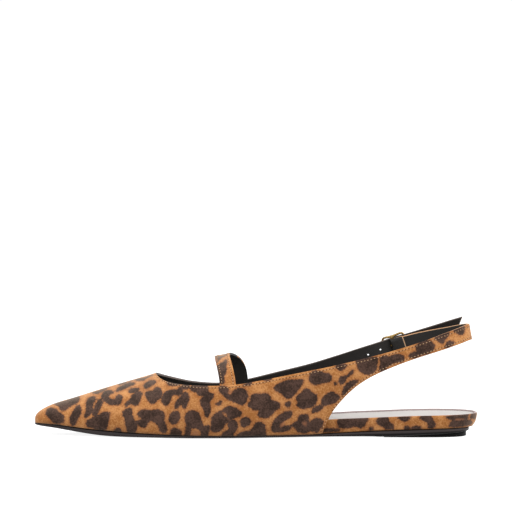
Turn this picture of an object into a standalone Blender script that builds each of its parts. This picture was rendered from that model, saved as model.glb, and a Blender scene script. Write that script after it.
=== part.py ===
"""A pointed flat slingback shoe for the right foot, standing on its sole.

The toe points along -X, the inner (medial) side faces -Y and +Z is up. Tables are in millimetres:
from_toe runs from the toe tip to the back of the heel, heights start at the floor, and half widths
start at the straight line from the middle of the heel to the toe tip.
"""

from collections import namedtuple
from math import asin, cos, pi, radians, sin

import bmesh
import bpy
from mathutils import Matrix, Vector

MM = 0.001
MEDIAL = -1
LATERAL = 1

# Driving dimensions
LENGTH = 275.0
WALL = 1.6  # suede and lining together
GAP = 0.3  # between two pieces that touch
TOE_ROUND = 18.0  # length over which the pointed toe rounds off
TOE_POWER = 2.45
TOE_NOSE = 2.0  # upright height of the very tip
SEAT_TURN = 238.0  # from_toe where the heel seat starts to round off
SEAT_POWER = 2.4
OUTSOLE_POWER = 3.0  # the sole and its lift are squarer at the back than the seat
LIFT_POWER = 3.2
COLUMNS = 8  # faces from the lower edge of the upper to its top edge

# Upper
THROAT = 75.0
SLING_TURN = 236.0  # from_toe where the sling starts to bend round the heel
SLING_BACK = 271.8  # from_toe of the sling's lower edge behind the heel
SLING_BACK_HEIGHT = 59.0
SLING_LEAN = 0.18  # how far the sling leans forward for each unit of height
STRAP_TIP = 264.5
STRAP_TIP_SLANT = 4.0
STRAP_TIP_LENGTH = 14.0

# Buckle, in its own axes: along the strap, across it, and outwards from the foot
BUCKLE = 224.6  # from_toe of its centre bar
BUCKLE_HALF_LENGTH = 7.2
BUCKLE_HALF_WIDTH = 6.25
BUCKLE_PINCH = 0.4
BUCKLE_RISE = 3.1  # of the end bars above the foot's surface
BAR_RISE = -0.2
WIRE_RADIUS = 0.75
BAR_RADIUS = 0.7
FOLD_RADIUS = 1.9  # of the sling where it is folded round the bar
FOLD_INSIDE = 2.7  # the same on the foot's side, where the fold covers the prong's eye
FOLD_SLOT = 1.2
PRONG_RADIUS = 0.6
PRONG_EYE = 1.75
HOLE_RADIUS = 0.65
HOLES = (208.0, 215.6, 232.6, 239.6)  # from_toe of the free strap holes

# Sole parts
FOOTBED_INSET = 3.0  # inside the upper
FOOTBED_DRAFT = 1.0
SEAT_START, SEAT_FULL = 184.0, 200.0  # where the footbed widens to the edge of the sole
RIM = 1.5  # covered edge around the sock
RIM_RISE = 0.3
SOCK_DEPTH = 1.4
FOOTBED_HEEL_DRAFT = 2.6  # the back of the footbed curves in to the sole
OUTSOLE_EDGE = 1.5
OUTSOLE_HEEL_INSET = 5.2
OUTSOLE_HEEL_EDGE = 0.8
LIFT_FRONT = 216.3
LIFT_INSET = 3.4
LIFT_HEEL_INSET = 7.0
LIFT_HEIGHT = 1.3

# Instep band
BAND_WIDTH = 9.0
BAND_FOOT_WIDTH = 10.0
BAND_THICKNESS = 1.4
BAND_FOOT = 21.0  # height of its ends inside the upper
BAND_MEDIAL, BAND_CROWN, BAND_LATERAL = 121.4, 115.9, 127.8  # from_toe of its middle
BAND_MEDIAL_LEAN, BAND_LATERAL_LEAN = 2.0, 3.5  # a larger one leans only near the crown

# The widest line of the upper, the ridge over it, and how square the section between them is.
# Behind the throat the ridge is that of the foot, where there is no upper.
Section = namedtuple("Section", "from_toe medial lateral widest ridge roundness")
LAST = [
    Section(0, 9.6, 9.6, 10.0, 16.3, 2.0),
    Section(20, 14.6, 15.2, 9.6, 21.5, 1.95),
    Section(40, 22.0, 23.6, 9.2, 27.8, 1.85),
    Section(58, 28.4, 30.8, 9.4, 33.2, 1.8),
    Section(75, 33.0, 36.2, 10.4, 38.2, 1.85),
    Section(100, 37.4, 41.2, 11.8, 48.0, 2.15),
    Section(122, 36.8, 42.2, 13.0, 52.6, 2.4),
    Section(150, 32.6, 39.6, 16.0, 64.0, 2.35),
    Section(178, 29.2, 34.6, 21.0, 77.0, 2.4),
    Section(200, 27.9, 31.0, 25.0, 86.0, 2.4),
    Section(225, 26.1, 27.6, 26.0, 93.0, 2.4),
    Section(250, 24.2, 25.0, 26.0, 96.0, 2.4),
    Section(275, 22.3, 22.6, 26.0, 96.0, 2.4),
]

# The edge of the sole, the underside and top of the outsole, and the top of the footbed.
Sole = namedtuple("Sole", "from_toe medial lateral bottom top footbed")
SOLE = [
    Sole(0, 8.6, 8.6, 5.6, 7.1, 10.2),
    Sole(12, 10.7, 11.0, 4.4, 6.6, 9.6),
    Sole(20, 13.3, 13.9, 3.3, 5.9, 8.8),
    Sole(34, 18.4, 19.6, 1.3, 4.5, 7.2),
    Sole(46, 22.6, 24.4, 0.2, 3.8, 6.3),
    Sole(58, 26.6, 29.0, 0.0, 3.1, 5.7),
    Sole(75, 31.2, 34.4, 0.0, 2.4, 5.2),
    Sole(100, 35.4, 39.2, 0.0, 1.8, 4.9),
    Sole(122, 34.6, 40.0, 0.0, 1.5, 5.4),
    Sole(150, 29.8, 37.2, 0.0, 1.5, 7.2),
    Sole(178, 26.0, 32.2, 0.2, 1.9, 10.3),
    Sole(200, 25.2, 29.0, 0.3, 3.4, 11.6),
    Sole(216, 26.0, 27.6, 0.4, 4.2, 12.3),
    Sole(238, 27.0, 27.0, 1.4, 4.9, 13.2),
    Sole(275, 27.0, 27.0, 3.3, 5.5, 13.6),
]

# The top edge and the lower edge of each side of the upper, with the straps that grow out of it.
# A lower edge of 0 stands on the sole.
Edge = namedtuple("Edge", "from_toe top low")
MEDIAL_EDGE = [
    Edge(75, 38.2, 0),
    Edge(80, 34.8, 0),
    Edge(87, 33.5, 0),
    Edge(96, 32.7, 0),
    Edge(110, 32.5, 0),
    Edge(122, 33.0, 0),
    Edge(140, 35.6, 0),
    Edge(160, 39.4, 0),
    Edge(177, 42.7, 0),
    Edge(180, 43.3, 9.0),
    Edge(183.5, 44.0, 15.0),
    Edge(187, 44.8, 19.6),
    Edge(191, 45.7, 24.2),
    Edge(198.5, 47.4, 31.3),
    Edge(206, 49.3, 36.3),
    Edge(217, 52.1, 41.6),
    Edge(236, 57.7, 48.7),
    Edge(254, 63.7, 54.2),
    Edge(270, 68.5, 59.0),
]
LATERAL_EDGE = [
    Edge(75, 38.2, 0),
    Edge(80, 35.5, 0),
    Edge(87, 33.1, 0),
    Edge(95, 30.8, 0),
    Edge(103, 29.6, 0),
    Edge(113, 28.9, 0),
    Edge(122, 29.4, 0),
    Edge(133, 31.5, 0),
    Edge(148, 35.3, 0),
    Edge(172, 41.5, 0),
    Edge(175, 42.4, 9.0),
    Edge(179, 43.7, 15.6),
    Edge(183, 45.0, 20.4),
    Edge(187, 46.3, 24.6),
    Edge(194.5, 48.8, 31.6),
    Edge(202, 51.4, 37.6),
    Edge(212, 54.6, 43.8),
    Edge(227, 59.2, 49.4),
    Edge(246, 65.1, 55.3),
    Edge(266, 71.4, 61.6),
]
SLING_LATERAL = [
    Edge(223, 57.4, 47.6),
    Edge(236, 61.1, 51.4),
    Edge(246, 63.2, 53.6),
    Edge(258, 65.6, 56.1),
    Edge(270, 68.5, 59.0),
]

# How far the lateral strap runs outside the foot's surface as it threads the buckle.
Weave = namedtuple("Weave", "from_toe out")
WEAVE = [
    Weave(75, 0.0),
    Weave(BUCKLE - 17, 0.0),
    Weave(BUCKLE - 6.3, 1.7),
    Weave(BUCKLE, 3.9),
    Weave(BUCKLE + 6.3, 2.1),
    Weave(BUCKLE + 13, 2.0),
    Weave(266, 3.2),
]


# Reading the tables


def read(table, column, at):
    """The column's value between two rows, on a smooth curve that never overshoots the rows."""
    places = [row.from_toe for row in table]
    values = [getattr(row, column) for row in table]
    if at <= places[0]:
        return values[0]
    if at >= places[-1]:
        return values[-1]
    i = max(k for k, place in enumerate(places) if place <= at)
    steps = [(values[k + 1] - values[k]) / (places[k + 1] - places[k]) for k in range(len(places) - 1)]

    def slope(k):
        if k == 0 or k == len(steps):
            return steps[min(k, len(steps) - 1)]
        before, after = steps[k - 1], steps[k]
        return 2 * before * after / (before + after) if before * after > 0 else 0.0

    width = places[i + 1] - places[i]
    t = (at - places[i]) / width
    rise = values[i + 1] - values[i]
    start = t * (1 - t) ** 2 * width * slope(i)
    end = t * t * (1 - t) * width * slope(i + 1)
    return values[i] + rise * t * t * (3 - 2 * t) + start - end


def side_name(side):
    return "medial" if side == MEDIAL else "lateral"


def toe_round(from_toe):
    """Grows from 0 at the toe tip to 1 where the tip's rounding ends."""
    short = max(0.0, 1 - from_toe / TOE_ROUND)
    return (1 - short**TOE_POWER) ** (1 / TOE_POWER)


AXIS = (
    max(row.medial for row in LAST) - max(row.lateral for row in LAST)
) / 2  # centres the widest part on X


def place(from_toe, half_width, height):
    """A point in the part's frame, in metres."""
    return Vector((from_toe - LENGTH / 2, half_width + AXIS, height)) * MM


def spread(start, end, count):
    return [start + (end - start) * k / count for k in range(count + 1)]


# The last, whose surface is the outer face of the upper


def feather(from_toe):
    """Height of the upper's lower edge where it stands on the outsole."""
    return read(SOLE, "top", from_toe) + GAP


def ridge(from_toe):
    nose = feather(from_toe) + TOE_NOSE
    return nose + (read(LAST, "ridge", from_toe) - nose) * toe_round(from_toe)


def widest(from_toe):
    """Height of the widest line, which meets the feather edge at the toe tip."""
    base = feather(from_toe)
    return base + (read(LAST, "widest", from_toe) - base) * toe_round(from_toe)


def section_angle(from_toe, height):
    """-90 degrees at the feather edge, 0 at the widest line and 90 at the ridge."""
    middle = widest(from_toe)
    if height < middle:
        return -asin(min(1.0, (middle - height) / (middle - feather(from_toe))))
    share = min(1.0, (height - middle) / (ridge(from_toe) - middle))
    return asin(share ** (read(LAST, "roundness", from_toe) / 2))


def last_point(side, from_toe, angle):
    rounding = toe_round(from_toe)
    wide = read(LAST, side_name(side), from_toe) * rounding
    middle = widest(from_toe)
    if angle < 0:
        foot = read(SOLE, side_name(side), from_toe) * rounding
        half = foot + (wide - foot) * cos(angle)
        height = middle + (middle - feather(from_toe)) * sin(angle)
    else:
        power = 2 / read(LAST, "roundness", from_toe)
        half = wide * max(0.0, cos(angle)) ** power
        height = middle + (ridge(from_toe) - middle) * sin(angle) ** power
    return from_toe, side * half, height


def evenly(line, count):
    """The same line as count faces of equal length."""
    points = [Vector(point) for point in line]
    run = [0.0]
    for a, b in zip(points, points[1:]):
        run.append(run[-1] + (b - a).length)
    made = []
    for target in spread(0.0, run[-1], count):
        k = min(len(points) - 2, sum(1 for r in run[1:-1] if r <= target))
        share = (target - run[k]) / max(run[k + 1] - run[k], 1e-9)
        made.append(points[k].lerp(points[k + 1], min(1.0, share)))
    return made


FINE = 40  # steps along a section before it is divided evenly


def wall_row(side, from_toe, low, top):
    """Points up one side of the upper, from its lower edge to its top edge."""
    start = section_angle(from_toe, low) if low > feather(from_toe) else -pi / 2
    end = section_angle(from_toe, top)
    return evenly([last_point(side, from_toe, a) for a in spread(start, end, FINE)], COLUMNS)


def side_row(side, edges, from_toe):
    return wall_row(side, from_toe, read(edges, "low", from_toe), read(edges, "top", from_toe))


def sling_row(turn):
    """Points across the sling round the heel, for a turn of 0 (medial) to 180 degrees (lateral)."""
    side = MEDIAL if turn < 90 else LATERAL
    edges = MEDIAL_EDGE if side == MEDIAL else SLING_LATERAL
    reach = sin(radians(turn))
    at = SLING_TURN + (SLING_BACK - SLING_TURN) * reach
    low, top = read(edges, "low", at), read(edges, "top", at)
    row = []
    for height in spread(low, top, COLUMNS):
        back = SLING_BACK - SLING_LEAN * (height - SLING_BACK_HEIGHT)
        from_toe = SLING_TURN + (back - SLING_TURN) * reach
        half = last_point(side, from_toe, section_angle(from_toe, height))[1]
        row.append(Vector((from_toe, half * abs(cos(radians(turn))), height)))
    return row


# Mesh helpers


def material(name, colour, roughness, metallic=0.0):
    made = bpy.data.materials.new(name)
    made.use_nodes = True
    shader = made.node_tree.nodes["Principled BSDF"]
    shader.inputs["Base Color"].default_value = (*colour, 1)
    shader.inputs["Roughness"].default_value = roughness
    shader.inputs["Metallic"].default_value = metallic
    return made


def add_object(name, bm, finish):
    """An object from a bmesh, with its doubles welded and its faces pointing out."""
    bmesh.ops.remove_doubles(bm, verts=bm.verts, dist=1e-6)
    bmesh.ops.dissolve_degenerate(bm, edges=bm.edges, dist=1e-7)
    bmesh.ops.recalc_face_normals(bm, faces=bm.faces)
    mesh = bpy.data.meshes.new(name)
    bm.to_mesh(mesh)
    bm.free()
    mesh.shade_smooth()
    mesh.set_sharp_from_angle(angle=radians(35))
    made = bpy.data.objects.new(name, mesh)
    if finish:
        mesh.materials.append(finish)
    bpy.context.scene.collection.objects.link(made)
    return made


def add_helper(name, bm):
    """A cutter or a piece to be joined on, which is no node itself."""
    made = add_object(name, bm, None)
    made.hide_render = True
    made.display_type = "WIRE"
    return made


def combine(target, other, operation):
    step = target.modifiers.new(other.name, "BOOLEAN")
    step.operation = operation
    step.solver = "EXACT"
    step.object = other


def add_strip(bm, rows):
    """Quads between rows of points that have the same count."""
    verts = [[bm.verts.new(point) for point in row] for row in rows]
    for a, b in zip(verts, verts[1:]):
        for k in range(len(a) - 1):
            bm.faces.new((a[k], a[k + 1], b[k + 1], b[k]))
    return verts


def add_tube(bm, path, radius, sides, reference, closed=False):
    """A round bar along a path that never runs along the reference; an open one has flat ends."""
    rings = []
    count = len(path)
    for i, point in enumerate(path):
        before = path[i - 1] if closed or i else point
        after = path[(i + 1) % count] if closed or i < count - 1 else point
        side = (after - before).cross(reference).normalized()
        rise = side.cross(after - before).normalized()
        turns = spread(0, 2 * pi, sides)[:-1]
        rings.append([bm.verts.new(point + (side * cos(a) + rise * sin(a)) * radius) for a in turns])
    pairs = list(zip(rings, rings[1:] + rings[:1])) if closed else list(zip(rings, rings[1:]))
    for a, b in pairs:
        for k in range(sides):
            bm.faces.new((a[k], a[(k + 1) % sides], b[(k + 1) % sides], b[k]))
    if not closed:
        bm.faces.new(rings[0])
        bm.faces.new(rings[-1])


# Outlines of the sole, and solids stacked up from them

TOE_STEPS, MIDDLE_STEPS, HEEL_STEPS = 8, 30, 10


def sole_outline(inset, heel_inset, start=0.0, power=SEAT_POWER):
    """Rows of from_toe, medial and lateral half width, drawn in by the inset."""
    toe = start or inset(0.0) * 2
    stations = []
    if not start:
        stations = [toe + TOE_ROUND * (1 - cos(a)) for a in spread(0, pi / 2, TOE_STEPS)[:-1]]
    first = start or toe + TOE_ROUND
    stations += spread(first, SEAT_TURN, MIDDLE_STEPS if not start else HEEL_STEPS)
    rows = []
    for at in stations:
        rounding = 1.0 if start else toe_round(at - toe)
        halves = [(read(SOLE, name, at) - inset(at)) * rounding for name in ("medial", "lateral")]
        rows.append((at, *halves))
    heel = LENGTH - heel_inset
    for a in spread(0, pi / 2, HEEL_STEPS)[1:]:
        at = SEAT_TURN + (heel - SEAT_TURN) * sin(a) ** (2 / power)
        rounding = max(0.0, cos(a)) ** (2 / power)
        halves = [(read(SOLE, name, at) - inset(at)) * rounding for name in ("medial", "lateral")]
        rows.append((at, *halves))
    return rows


def add_stack(name, levels, finish):
    """A solid from outlines one above the other, each with its own height function."""
    bm = bmesh.new()
    loops = []
    for rows, height in levels:
        medial = [bm.verts.new(place(at, -m, height(at))) for at, m, _ in rows]
        lateral = [bm.verts.new(place(at, l, height(at))) for at, _, l in rows]
        loops.append((medial, lateral))
    for (m0, l0), (m1, l1) in zip(loops, loops[1:]):
        ring0, ring1 = m0 + l0[::-1], m1 + l1[::-1]
        for k in range(len(ring0)):
            n = (k + 1) % len(ring0)
            bm.faces.new((ring0[k], ring0[n], ring1[n], ring1[k]))
    for medial, lateral in (loops[0], loops[-1]):
        for k in range(len(medial) - 1):
            bm.faces.new((medial[k], medial[k + 1], lateral[k + 1], lateral[k]))
    return add_object(name, bm, finish) if finish else add_helper(name, bm)


def column_height(column, lift=0.0):
    return lambda at: read(SOLE, column, at) + lift


def constant(value):
    return lambda at: value


def footbed_inset(at):
    """The footbed keeps clear of the upper's wall, and behind it reaches the edge of the sole."""
    share = min(1.0, max(0.0, (at - SEAT_START) / (SEAT_FULL - SEAT_START)))
    return FOOTBED_INSET * (1 - share * share * (3 - 2 * share))


def build_outsole(finish):
    side = sole_outline(constant(0.0), OUTSOLE_HEEL_INSET, power=OUTSOLE_POWER)
    heel_inset = OUTSOLE_HEEL_INSET + OUTSOLE_HEEL_EDGE
    under = sole_outline(constant(OUTSOLE_EDGE), heel_inset, power=OUTSOLE_POWER)
    lip = column_height("bottom", 0.6)
    levels = [(under, column_height("bottom")), (side, lip), (side, column_height("top"))]
    outsole = add_stack("outsole", levels, finish)
    heel_inset = LIFT_HEEL_INSET - GAP
    pocket = sole_outline(constant(LIFT_INSET - GAP), heel_inset, LIFT_FRONT - GAP, LIFT_POWER)
    levels = [(pocket, constant(-1.0)), (pocket, lift_top(GAP))]
    combine(outsole, add_stack("lift_pocket", levels, None), "DIFFERENCE")
    return outsole


def lift_top(above):
    """The top of the heel lift, which follows the outsole's rise to the back."""
    rise = read(SOLE, "bottom", LENGTH) - read(SOLE, "bottom", LIFT_FRONT)
    return lambda at: LIFT_HEIGHT + above + 0.6 * rise * (at - LIFT_FRONT) / (LENGTH - LIFT_FRONT)


def build_heel_lift(finish):
    rows = sole_outline(constant(LIFT_INSET), LIFT_HEEL_INSET, LIFT_FRONT, LIFT_POWER)
    return add_stack("heel_lift", [(rows, constant(0.0)), (rows, lift_top(0.0))], finish)


def build_footbed(finish):
    foot = sole_outline(lambda at: footbed_inset(at) + FOOTBED_DRAFT, FOOTBED_HEEL_DRAFT)
    belly = sole_outline(lambda at: footbed_inset(at) + 0.4 * FOOTBED_DRAFT, 0.2 * FOOTBED_HEEL_DRAFT)
    rim = sole_outline(footbed_inset, 0.0)
    top = sole_outline(lambda at: footbed_inset(at) + 0.5, 0.5)
    low = column_height("top", GAP)
    shoulder = column_height("footbed", RIM_RISE - 0.8)
    levels = [(foot, low), (belly, lambda at: 0.6 * low(at) + 0.4 * shoulder(at)), (rim, shoulder)]
    levels.append((top, column_height("footbed", RIM_RISE)))
    footbed = add_stack("footbed", levels, finish)
    seat = sole_outline(lambda at: footbed_inset(at) + RIM, RIM)
    levels = [(seat, column_height("footbed", -SOCK_DEPTH)), (seat, column_height("footbed", 2.0))]
    combine(footbed, add_stack("sock_seat", levels, None), "DIFFERENCE")
    return footbed


def build_sock(finish):
    edge = sole_outline(lambda at: footbed_inset(at) + RIM + GAP, RIM + GAP)
    crown = sole_outline(lambda at: footbed_inset(at) + RIM + GAP + 0.8, RIM + GAP + 0.8)
    bottom = column_height("footbed", GAP - SOCK_DEPTH)
    shoulder, top = column_height("footbed", -0.7), column_height("footbed", -0.35)
    levels = [(edge, bottom), (edge, shoulder), (crown, top)]
    return add_stack("insole_sock", levels, finish)


# The buckle's own axes


def strap_middle(from_toe):
    """The middle of the lateral strap on the foot's surface."""
    row = side_row(LATERAL, LATERAL_EDGE, from_toe)
    return place(*row[COLUMNS // 2])


def buckle_frame():
    """Axes along the strap, across it and outwards, from the middle of the strap at the centre bar."""
    along = (strap_middle(BUCKLE + 4) - strap_middle(BUCKLE - 4)).normalized()
    row = side_row(LATERAL, LATERAL_EDGE, BUCKLE)
    across = place(*row[-1]) - place(*row[0])
    out = across.cross(along).normalized()
    across = along.cross(out)
    axes = Matrix((along, across, out)).transposed().to_4x4()
    return Matrix.Translation(strap_middle(BUCKLE)) @ axes


FRAME = buckle_frame()
ACROSS = FRAME.to_3x3() @ Vector((0, 1, 0))
OUTWARD = FRAME.to_3x3() @ Vector((0, 0, 1))


def at_buckle(along, across, out):
    return FRAME @ (Vector((along, across, out)) * MM)


# The upper, with the straps that are cut in one with it


def stations(start, end, step):
    return spread(start, end, max(1, round((end - start) / step)))


def throat_stations(end):
    """Close together behind the throat, where the top edge turns, then even."""
    near = [THROAT + 10.0 * (k / 4) ** 2 for k in range(5)]
    return near + stations(near[-1], end, 4.5)[1:]


def vamp_rows():
    tip = [TOE_ROUND * (1 - cos(a)) for a in spread(0, pi / 2, 8)]
    places = tip + stations(TOE_ROUND, THROAT, 5.0)[1:]
    for side in (MEDIAL, LATERAL):
        yield [wall_row(side, at, 0.0, ridge(at) + 1.0) for at in places]


def medial_rows():
    """The medial side, the sling round the heel and its lateral end at the buckle."""
    rows = [side_row(MEDIAL, MEDIAL_EDGE, at) for at in throat_stations(SLING_TURN)]
    rows += [sling_row(turn) for turn in spread(0, 180, 26)[1:]]
    ends = stations(BUCKLE + 3.5, SLING_TURN, 4.0)[:-1][::-1]
    back = [side_row(LATERAL, SLING_LATERAL, at) for at in ends]
    return rows + back


def lateral_rows():
    """The lateral side and its strap, threaded through the buckle to a free tip."""
    rows = []
    places = throat_stations(BUCKLE - 20)
    places += stations(BUCKLE - 20, BUCKLE + 16, 1.8)[1:] + stations(BUCKLE + 16, STRAP_TIP, 4.5)[1:]
    for at in places:
        share = max(0.0, 1 - (STRAP_TIP - at) / STRAP_TIP_LENGTH)
        row = []
        for k in range(COLUMNS + 1):
            slanted = at + STRAP_TIP_SLANT * share * (k / COLUMNS - 0.5)
            point = side_row(LATERAL, LATERAL_EDGE, slanted)[k]
            row.append(place(*point) + OUTWARD * read(WEAVE, "out", slanted) * MM)
        rows.append(row)
    return rows


SLING_SINK = 0.6  # the sling's end lies this much deeper, to leave room for the strap over it
SINK_RUN = 20.0


def sunk(row, from_toe):
    """The lateral end of the sling, drawn in towards the foot."""
    share = min(1.0, max(0.0, (BUCKLE + SINK_RUN - from_toe) / (SINK_RUN - 8.0)))
    return [point - OUTWARD * SLING_SINK * share * MM for point in row]


def build_upper(finish):
    bm = bmesh.new()
    for rows in vamp_rows():
        add_strip(bm, [[place(*point) for point in row] for row in rows])
    sling = []
    for row in medial_rows():
        points = [place(*point) for point in row]
        lateral = row[0].y > 0
        sling.append(sunk(points, row[0].x) if lateral else points)
    add_strip(bm, sling)
    add_strip(bm, lateral_rows())
    upper = add_object("upper", bm, finish)
    wall = upper.modifiers.new("wall", "SOLIDIFY")
    wall.thickness = WALL * MM
    wall.offset = -1.0
    wall.use_even_offset = True
    combine(upper, build_fold(), "UNION")
    combine(upper, build_prong_hole(), "DIFFERENCE")
    for k, at in enumerate(HOLES):
        combine(upper, build_strap_hole(k, at), "DIFFERENCE")
    return upper


FOLD_FLAP = 6.6  # length of the sling's end that is turned back inside
FOLD_HALF_WIDTH = 4.4


def build_fold():
    """The end of the sling folded round the centre bar, with a slot for the prong."""
    arc = []
    for a in spread(radians(50), radians(262), 12):
        deep = FOLD_RADIUS if sin(a) > 0 else FOLD_INSIDE
        arc.append((FOLD_RADIUS * cos(a), BAR_RISE + deep * sin(a)))
    flap = -WALL - SLING_SINK - 1.2
    profile = arc + [(2.6, flap), (FOLD_FLAP, flap), (FOLD_FLAP, flap + 1.6), (5.0, -SLING_SINK - 0.2)]
    bm = bmesh.new()
    ends = []
    for w in (-FOLD_HALF_WIDTH, FOLD_HALF_WIDTH):
        ends.append([bm.verts.new(at_buckle(s, w, n)) for s, n in profile])
    bm.faces.new(ends[0])
    bm.faces.new(ends[1])
    for k in range(len(profile)):
        n = (k + 1) % len(profile)
        bm.faces.new((ends[0][k], ends[0][n], ends[1][n], ends[1][k]))
    fold = add_helper("sling_fold", bm)
    bm = bmesh.new()
    ends = [at_buckle(0, w, BAR_RISE) for w in (-9, 9)]
    add_tube(bm, ends, (BAR_RADIUS + GAP) * MM, 14, OUTWARD)
    combine(fold, add_helper("bar_tunnel", bm), "DIFFERENCE")
    bm = bmesh.new()
    box = bmesh.ops.create_cube(bm, size=1.0)["verts"]
    inside = BAR_RISE - PRONG_EYE - GAP
    for vert in box:
        out = 4.5 if vert.co.z > 0 else inside
        vert.co = at_buckle(vert.co.x * 5.0 - 0.4, vert.co.y * 2 * FOLD_SLOT, out)
    combine(fold, add_helper("prong_slot", bm), "DIFFERENCE")
    return fold


# Along the strap and out from it, from the prong's eye to its tip
PRONG = [(-0.6, 1.0), (-2.6, 2.1), (-4.8, 3.6), (-6.8, 4.65), (-8.6, 4.7)]


def build_prong_hole():
    bm = bmesh.new()
    add_tube(bm, [at_buckle(s, 0, n) for s, n in PRONG], (PRONG_RADIUS + GAP) * MM, 10, ACROSS)
    return add_helper("prong_hole", bm)


def build_strap_hole(index, from_toe):
    middle = strap_middle(from_toe) + OUTWARD * read(WEAVE, "out", from_toe) * MM
    bm = bmesh.new()
    ends = [middle + OUTWARD * MM, middle - OUTWARD * (WALL + GAP) * MM]
    add_tube(bm, ends, HOLE_RADIUS * MM, 10, ACROSS)
    return add_helper(f"strap_hole_{index}", bm)


# Buckle


def build_buckle_frame(finish):
    """A wire frame pinched at its middle, with the centre bar across."""
    path = []
    for a in spread(0, 2 * pi, 44)[:-1]:
        corner = 2 / 5.0
        s = BUCKLE_HALF_LENGTH * abs(cos(a)) ** corner * (1 if cos(a) > 0 else -1)
        w = BUCKLE_HALF_WIDTH * abs(sin(a)) ** corner * (1 if sin(a) > 0 else -1)
        middle = max(0.0, 1 - (s / BUCKLE_HALF_LENGTH) ** 2) ** 2
        w -= BUCKLE_PINCH * middle * (1 if w > 0 else -1)
        path.append(at_buckle(s, w, BUCKLE_RISE + (BAR_RISE - BUCKLE_RISE) * middle))
    bm = bmesh.new()
    add_tube(bm, path, WIRE_RADIUS * MM, 8, OUTWARD, closed=True)
    frame = add_object("buckle_frame", bm, finish)
    bm = bmesh.new()
    half = BUCKLE_HALF_WIDTH - BUCKLE_PINCH
    add_tube(bm, [at_buckle(0, w, BAR_RISE) for w in (-half, half)], BAR_RADIUS * MM, 8, OUTWARD)
    combine(frame, add_helper("centre_bar", bm), "UNION")
    return frame


def build_prong(finish):
    """The prong hangs on the centre bar by its eye and lies on the front end of the frame."""
    bm = bmesh.new()
    add_tube(bm, [at_buckle(s, 0, n) for s, n in PRONG], PRONG_RADIUS * MM, 8, ACROSS)
    prong = add_object("buckle_prong", bm, finish)
    width = 0.8
    bm = bmesh.new()
    ends = [at_buckle(0, w, BAR_RISE) for w in (-width, width)]
    add_tube(bm, ends, PRONG_EYE * MM, 14, OUTWARD)
    eye = add_helper("prong_eye", bm)
    bm = bmesh.new()
    ends = [at_buckle(0, w, BAR_RISE) for w in (-2 * width, 2 * width)]
    add_tube(bm, ends, (BAR_RADIUS + 0.2) * MM, 14, OUTWARD)
    bore = add_helper("prong_bore", bm)
    combine(prong, eye, "UNION")
    combine(prong, bore, "DIFFERENCE")
    return prong


# Instep band


def band_row(side, angle):
    """from_toe of four points across the band, which leans forward and narrows to its crown."""
    foot, lean = BAND_MEDIAL, BAND_MEDIAL_LEAN
    if side == LATERAL:
        foot, lean = BAND_LATERAL, BAND_LATERAL_LEAN
    share = sin(angle) ** lean
    middle = foot + (BAND_CROWN - foot) * share
    half = (BAND_FOOT_WIDTH + (BAND_WIDTH - BAND_FOOT_WIDTH) * share) / 2
    return spread(middle - half, middle + half, 3)


def build_instep_band(finish):
    """A narrow band that follows the last over the instep, with its ends inside the upper's wall."""
    rows = []
    for side in (MEDIAL, LATERAL):
        foot = BAND_MEDIAL if side == MEDIAL else BAND_LATERAL
        run = []
        for a in spread(section_angle(foot, BAND_FOOT), pi / 2, 14):
            run.append([place(*last_point(side, at, a)) for at in band_row(side, a)])
        rows += run if side == MEDIAL else run[:-1][::-1]
    bm = bmesh.new()
    add_strip(bm, rows)
    bmesh.ops.recalc_face_normals(bm, faces=bm.faces)
    bm.normal_update()
    crown = max(bm.verts, key=lambda vert: vert.co.z)
    depth = (WALL + GAP) * MM * (1 if crown.normal.z > 0 else -1)
    inward = [-vert.normal * depth for vert in bm.verts]
    for vert, shift in zip(bm.verts, inward):
        vert.co += shift
    band = add_object("instep_band", bm, finish)
    wall = band.modifiers.new("wall", "SOLIDIFY")
    wall.thickness = BAND_THICKNESS * MM
    wall.offset = -1.0
    wall.use_even_offset = True
    return band


def main():
    for old in list(bpy.data.objects):
        bpy.data.objects.remove(old)
    suede = material("printed_suede", (0.46, 0.24, 0.09), 0.9)
    pale = material("pale_sock_leather", (0.42, 0.40, 0.38), 0.4)
    rubber = material("black_rubber", (0.014, 0.013, 0.013), 0.55)
    brass = material("pale_brass", (0.78, 0.6, 0.32), 0.25, 1.0)
    build_outsole(rubber)
    build_heel_lift(rubber)
    build_footbed(suede)
    build_sock(pale)
    build_upper(suede)
    build_instep_band(suede)
    build_buckle_frame(brass)
    build_prong(brass)


main()
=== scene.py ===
# %% [markdown]
# # A spotted suede slingback flat
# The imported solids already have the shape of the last: a hollow upper with a strap and a sling, a band, a
# footbed, a sole and a buckle. This lesson gives them their skin. Most of the look is in four things: suede
# with a printed spot, a smooth black lining, rows of small stitches, and soft white studio light.

# %% Load the solids
import math
import random

import bmesh
import bpy
import numpy as np
from mathutils import Matrix, Vector
from mathutils.bvhtree import BVHTree


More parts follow.
